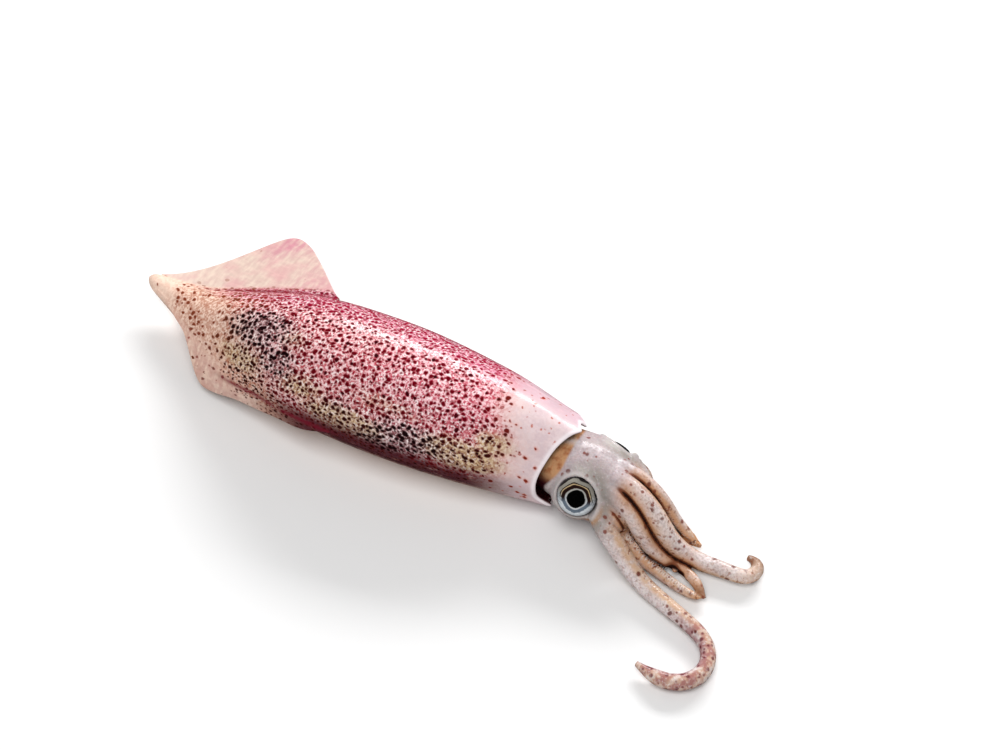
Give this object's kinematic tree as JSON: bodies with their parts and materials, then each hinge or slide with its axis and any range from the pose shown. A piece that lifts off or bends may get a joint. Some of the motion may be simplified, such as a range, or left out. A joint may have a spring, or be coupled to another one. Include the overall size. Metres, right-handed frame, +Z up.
{
  "type": "whole raw squid",
  "caption": "Whole raw squid lying on its belly, with spotted body tube, side fins, head with eyes, and loosely gathered arms with one long curled tentacle.",
  "frame": {"origin": "middle of the squid's box, on the ground that its belly rests on", "axes": "+X along the body towards the arms, +Y to the squid's left, +Z up through its back"},
  "size_m": [0.217, 0.0876, 0.039],
  "materials": {
    "mantle_skin": "wet pink and cream skin with dark red-brown spots",
    "head_skin": "wet pale grey-pink skin, tan and brown between the arms",
    "eye": "black pupil in silver rings under a clear wet cover"
  },
  "bodies": {
    "root": {"mantle": "mantle_skin", "head": "head_skin", "eye_right": "eye", "eye_left": "eye"}
  },
  "joints": []
}
